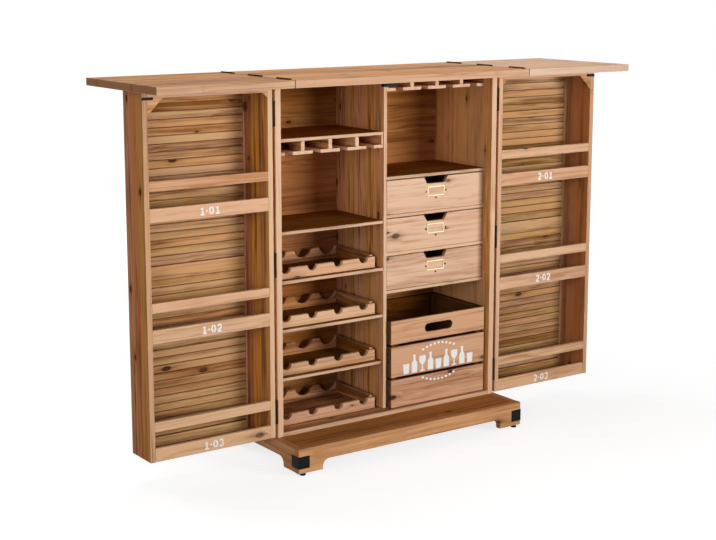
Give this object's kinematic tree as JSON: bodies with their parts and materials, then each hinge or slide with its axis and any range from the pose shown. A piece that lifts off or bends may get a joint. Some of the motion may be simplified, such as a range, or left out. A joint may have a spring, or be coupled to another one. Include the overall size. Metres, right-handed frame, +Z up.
{
  "type": "fold-out bar cabinet",
  "caption": "Free-standing softwood bar cabinet with louvred shelved doors, folding top leaves, bottle racks, glass rails, drawers and a loose crate on a bracket-footed plinth.",
  "frame": {"origin": "on the floor, under the middle of the top's outline with both leaves out", "axes": "+Z up, front towards -Y, +X to the right seen from the front, along the open width"},
  "size_m": [1.658, 0.42, 1.117],
  "materials": {
    "softwood": "clear satin lacquer",
    "pale_softwood": "clear satin lacquer",
    "louvre_softwood": "clear satin lacquer",
    "black_steel": "satin black",
    "pin_steel": "blackened",
    "black_plastic": "matte",
    "brass": "bright"
  },
  "bodies": {
    "cabinet": {"plinth_front_apron": "softwood", "plinth_rear_aprons": "softwood", "plinth_deck": "softwood", "plinth_corner_guards": "black_steel", "foot_glides": "black_plastic", "left_side_panel": "softwood", "right_side_panel": "softwood", "bottom_panel": "softwood", "back_planks": "softwood", "centre_divider": "softwood", "bottle_rack_1": "softwood", "bottle_rack_2": "softwood", "bottle_rack_3": "softwood", "bottle_rack_4": "softwood", "wine_shelves": "softwood", "middle_left_shelf": "softwood", "upper_left_shelf": "softwood", "left_glass_rails": "softwood", "right_glass_rails": "softwood", "drawer_bay_floor": "softwood", "drawer_dividers": "softwood", "cubby_shelf": "softwood", "centre_top": "softwood", "door_hinge_fixed_leaves": "black_steel", "leaf_hinge_fixed_leaves": "black_steel", "hinge_pins": "pin_steel", "magnet_catch": "black_plastic"},
    "left_door": {"left_door_frame": "softwood", "left_door_shelves": "softwood", "left_door_rails": "softwood", "left_door_louvre_frame": "softwood", "left_door_louvre_slats": "louvre_softwood", "left_door_gussets": "softwood", "left_door_strike_plate": "black_steel", "left_door_hinge_leaves": "black_steel"},
    "right_door": {"right_door_frame": "softwood", "right_door_shelves": "softwood", "right_door_rails": "softwood", "right_door_louvre_frame": "softwood", "right_door_louvre_slats": "louvre_softwood", "right_door_gussets": "softwood", "right_door_strike_plate": "black_steel", "right_door_hinge_leaves": "black_steel"},
    "left_top_leaf": {"left_leaf": "softwood", "left_leaf_hinge_leaves": "black_steel"},
    "right_top_leaf": {"right_leaf": "softwood", "right_leaf_hinge_leaves": "black_steel"},
    "drawer_1": {"drawer_1_front": "pale_softwood", "drawer_1_box": "softwood", "drawer_1_label_holder": "brass"},
    "drawer_2": {"drawer_2_front": "pale_softwood", "drawer_2_box": "softwood", "drawer_2_label_holder": "brass"},
    "drawer_3": {"drawer_3_front": "pale_softwood", "drawer_3_box": "softwood", "drawer_3_label_holder": "brass"},
    "crate": {"crate_slats": "pale_softwood", "crate_handle_slat": "pale_softwood", "crate_floor": "pale_softwood", "crate_posts": "pale_softwood"}
  },
  "joints": [
    {"name": "left_door_swing", "type": "hinge", "parent": "cabinet", "child": "left_door", "pos_m": [-0.404, -0.08075, 0.586], "axis": [0, 0, -1], "range_deg": [-180, 0]},
    {"name": "right_door_swing", "type": "hinge", "parent": "cabinet", "child": "right_door", "pos_m": [0.404, -0.08075, 0.586], "axis": [0, 0, 1], "range_deg": [-180, 0]},
    {"name": "left_leaf_fold", "type": "hinge", "parent": "cabinet", "child": "left_top_leaf", "pos_m": [-0.415, 0, 1.1135], "axis": [0, -1, 0], "range_deg": [-180, 0]},
    {"name": "right_leaf_fold", "type": "hinge", "parent": "cabinet", "child": "right_top_leaf", "pos_m": [0.415, 0, 1.1135], "axis": [0, 1, 0], "range_deg": [-180, 0]},
    {"name": "drawer_1_slide", "type": "slide", "parent": "cabinet", "child": "drawer_1", "axis": [0, -1, 0], "range_m": [0, 0.2]},
    {"name": "drawer_2_slide", "type": "slide", "parent": "cabinet", "child": "drawer_2", "axis": [0, -1, 0], "range_m": [0, 0.2]},
    {"name": "drawer_3_slide", "type": "slide", "parent": "cabinet", "child": "drawer_3", "axis": [0, -1, 0], "range_m": [0, 0.2]},
    {"name": "crate_slide", "type": "slide", "parent": "cabinet", "child": "crate", "axis": [0, -1, 0], "range_m": [0, 0.25]}
  ]
}
